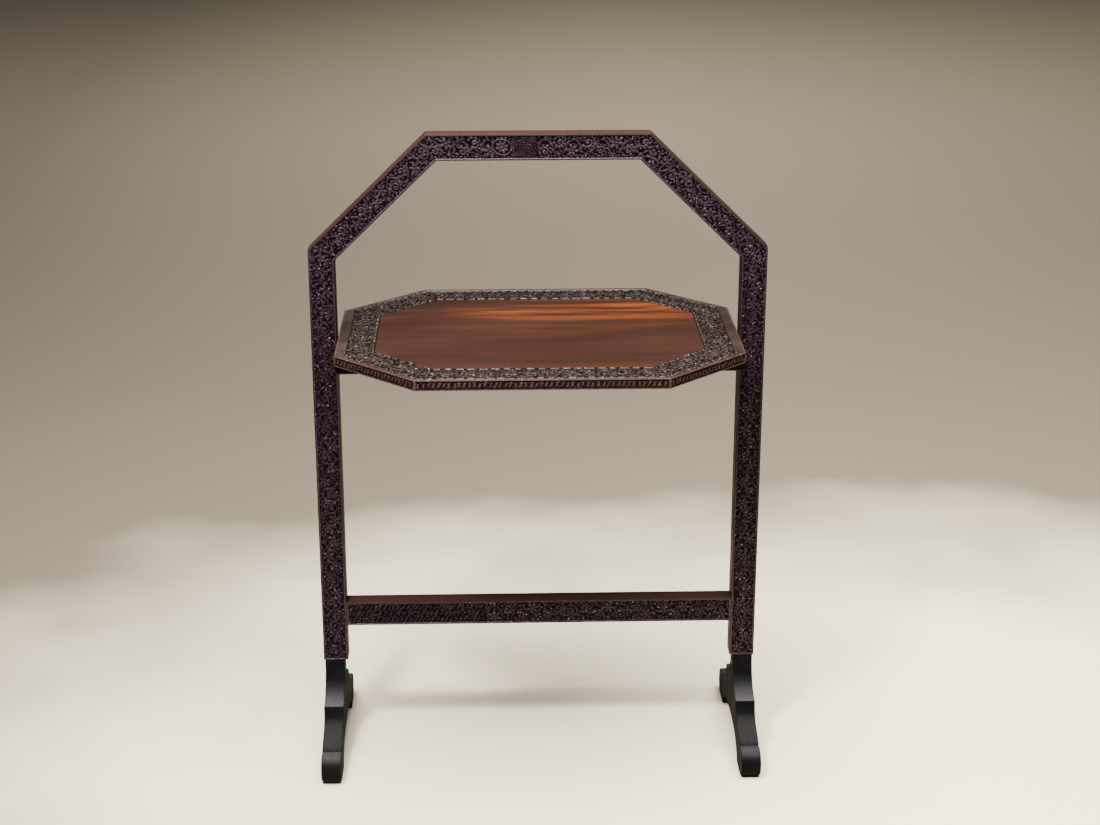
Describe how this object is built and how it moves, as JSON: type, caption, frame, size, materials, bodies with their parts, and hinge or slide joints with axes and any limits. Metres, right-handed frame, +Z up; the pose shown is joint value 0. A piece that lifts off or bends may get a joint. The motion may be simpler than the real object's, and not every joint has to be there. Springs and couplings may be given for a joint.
{
  "type": "folding tray table",
  "caption": "Folding tray table in carved dark hardwood: an octagonal-arch frame on scroll feet, with an elongated octagonal tray that tilts on side pins and folds into the arch.",
  "frame": {"origin": "on the floor, in the middle of the frame", "axes": "+X to the right along the tray's pins, +Y to the back, +Z up"},
  "size_m": [0.53, 0.371, 0.764],
  "materials": {
    "carved_wood": "waxed satin",
    "ebonised_wood": "satin",
    "tray_wood": "polished",
    "joinery_wood": "plain",
    "pivot_brass": "dull",
    "screw_steel": "dull"
  },
  "bodies": {
    "frame": {"left_upright": "carved_wood", "right_upright": "carved_wood", "left_haunch": "carved_wood", "right_haunch": "carved_wood", "top_rail": "carved_wood", "stretcher": "carved_wood", "left_foot": "ebonised_wood", "right_foot": "ebonised_wood", "left_haunch_tongue": "joinery_wood", "right_haunch_tongue": "joinery_wood", "left_crown_tongue": "joinery_wood", "right_crown_tongue": "joinery_wood", "left_stretcher_peg": "joinery_wood", "right_stretcher_peg": "joinery_wood", "left_foot_peg": "joinery_wood", "right_foot_peg": "joinery_wood", "left_washer": "pivot_brass", "right_washer": "pivot_brass"},
    "tray": {"tray_board": "tray_wood", "left_bearer": "carved_wood", "right_bearer": "carved_wood", "left_bearer_screws": "screw_steel", "right_bearer_screws": "screw_steel", "left_pivot_pin": "pivot_brass", "right_pivot_pin": "pivot_brass"}
  },
  "joints": [
    {"name": "tray_tilt", "type": "hinge", "parent": "frame", "child": "tray", "pos_m": [0, 0, 0.511], "axis": [1, 0, 0], "range_deg": [-90, 90]}
  ]
}
